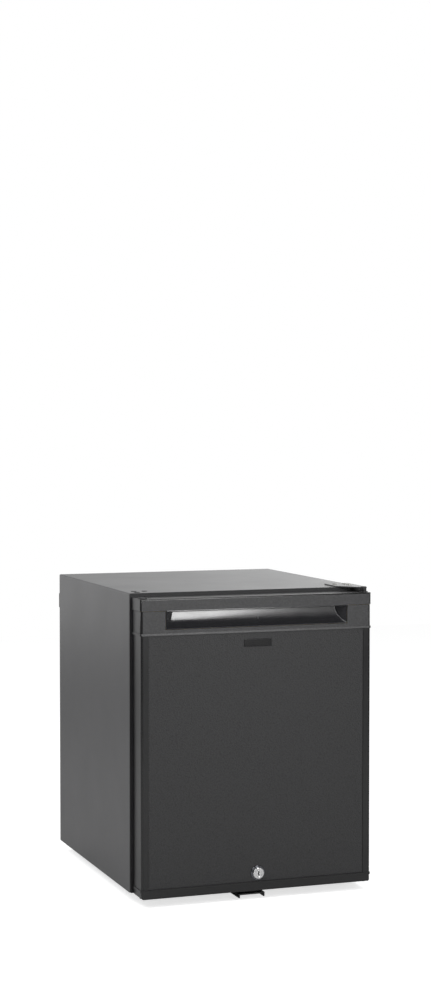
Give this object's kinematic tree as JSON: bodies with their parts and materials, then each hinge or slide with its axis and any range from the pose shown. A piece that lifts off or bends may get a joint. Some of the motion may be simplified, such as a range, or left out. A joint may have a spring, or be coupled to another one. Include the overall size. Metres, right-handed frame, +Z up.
{
  "type": "minibar fridge",
  "caption": "Black hotel minibar fridge with a grained door, a full-width recessed handle under the top cap, a cylinder lock near the foot, wire shelves and door racks.",
  "frame": {"origin": "on the floor, under the middle of the outer box of the closed fridge", "axes": "+X to the right seen from the front, +Y to the back, +Z up; the door faces -Y and hinges on the right"},
  "size_m": [0.402, 0.478, 0.4997],
  "materials": {
    "cabinet_paint": "satin",
    "base_steel": "satin",
    "liner_plastic": "satin",
    "foam": "matte",
    "frame_plastic": "matte",
    "zinc_steel": "satin",
    "hinge_screw_steel": "satin",
    "black_steel": "satin",
    "foot_rubber": "matte",
    "cooling_aluminium": "satin",
    "sensor_plastic": "satin",
    "lens_plastic": "gloss",
    "board": "satin",
    "knob_plastic": "satin",
    "white_wire": "gloss",
    "unit_paint": "satin",
    "boiler_sheet": "satin",
    "trim_plastic": "satin",
    "scoop_plastic": "gloss",
    "panel_paint": "matte",
    "badge_plastic": "satin",
    "gasket_rubber": "matte",
    "bush_plastic": "satin",
    "lock_chrome": "satin",
    "rack_plastic": "satin"
  },
  "bodies": {
    "cabinet": {"outer_wrapper": "cabinet_paint", "base_panel": "base_steel", "rear_panel": "base_steel", "inner_liner": "liner_plastic", "cabinet_foam": "foam", "front_frame": "frame_plastic", "top_hinge_plate": "cabinet_paint", "top_hinge_pin": "black_steel", "top_hinge_screws": "hinge_screw_steel", "hinge_hole_plugs": "frame_plastic", "bottom_hinge_plate": "black_steel", "bottom_hinge_pin": "zinc_steel", "bottom_hinge_screws": "zinc_steel", "feet": "foot_rubber", "foot_screws": "zinc_steel", "lock_strike": "black_steel", "lock_strike_screws": "zinc_steel", "cooling_plate": "cooling_aluminium", "cooling_plate_screws": "zinc_steel", "temperature_sensor": "sensor_plastic", "drip_channel": "liner_plastic", "control_housing": "liner_plastic", "lamp_lens": "lens_plastic", "lamp_board": "board", "gas_heat_exchanger": "unit_paint", "evaporator_tube": "unit_paint", "absorber_vessel": "unit_paint", "absorber_coil": "unit_paint", "boiler_casing": "boiler_sheet", "condenser_tube": "unit_paint", "condenser_fins": "cooling_aluminium", "unit_straps": "base_steel", "control_box": "frame_plastic", "control_box_lid": "frame_plastic", "cable_gland": "frame_plastic", "water_tray": "frame_plastic", "wall_spacers": "frame_plastic"},
    "door": {"door_top_cap": "trim_plastic", "handle_housing": "trim_plastic", "handle_scoop": "scoop_plastic", "door_side_strips": "trim_plastic", "door_panel": "panel_paint", "door_bottom_trim": "trim_plastic", "badge_plate": "badge_plastic", "door_liner": "liner_plastic", "door_foam": "foam", "door_gasket": "gasket_rubber", "door_hinge_bushes": "bush_plastic", "door_spare_plugs": "frame_plastic", "lock_housing": "lock_chrome", "lock_nut": "zinc_steel"},
    "lock": {"lock_plug": "lock_chrome", "lock_cam": "zinc_steel"},
    "thermostat": {"thermostat_knob": "knob_plastic", "thermostat_shaft": "zinc_steel"},
    "upper_shelf": {"upper_shelf": "white_wire"},
    "lower_shelf": {"lower_shelf": "white_wire"},
    "upper_rack": {"upper_rack": "rack_plastic"},
    "middle_rack": {"middle_rack": "rack_plastic"},
    "lower_rack": {"lower_rack": "rack_plastic"}
  },
  "joints": [
    {"name": "door_hinge", "type": "hinge", "parent": "cabinet", "child": "door", "pos_m": [0.1895, -0.222, 0.25], "axis": [0, 0, 1], "range_deg": [0, 120]},
    {"name": "lock_turn", "type": "hinge", "parent": "door", "child": "lock", "pos_m": [0, -0.235, 0.0446], "axis": [0, -1, 0], "range_deg": [0, 90]},
    {"name": "thermostat_turn", "type": "hinge", "parent": "cabinet", "child": "thermostat", "pos_m": [0.0716, -0.118, 0.4441], "axis": [0, 1, 0], "range_deg": [0, 270]},
    {"name": "upper_shelf_slide", "type": "slide", "parent": "cabinet", "child": "upper_shelf", "axis": [0, -1, 0], "range_m": [0, 0.018]},
    {"name": "lower_shelf_slide", "type": "slide", "parent": "cabinet", "child": "lower_shelf", "axis": [0, -1, 0], "range_m": [0, 0.018]},
    {"name": "upper_rack_lift", "type": "slide", "parent": "door", "child": "upper_rack", "axis": [0, 0, 1], "range_m": [0, 0.012]},
    {"name": "middle_rack_lift", "type": "slide", "parent": "door", "child": "middle_rack", "axis": [0, 0, 1], "range_m": [0, 0.012]},
    {"name": "lower_rack_lift", "type": "slide", "parent": "door", "child": "lower_rack", "axis": [0, 0, 1], "range_m": [0, 0.012]}
  ]
}
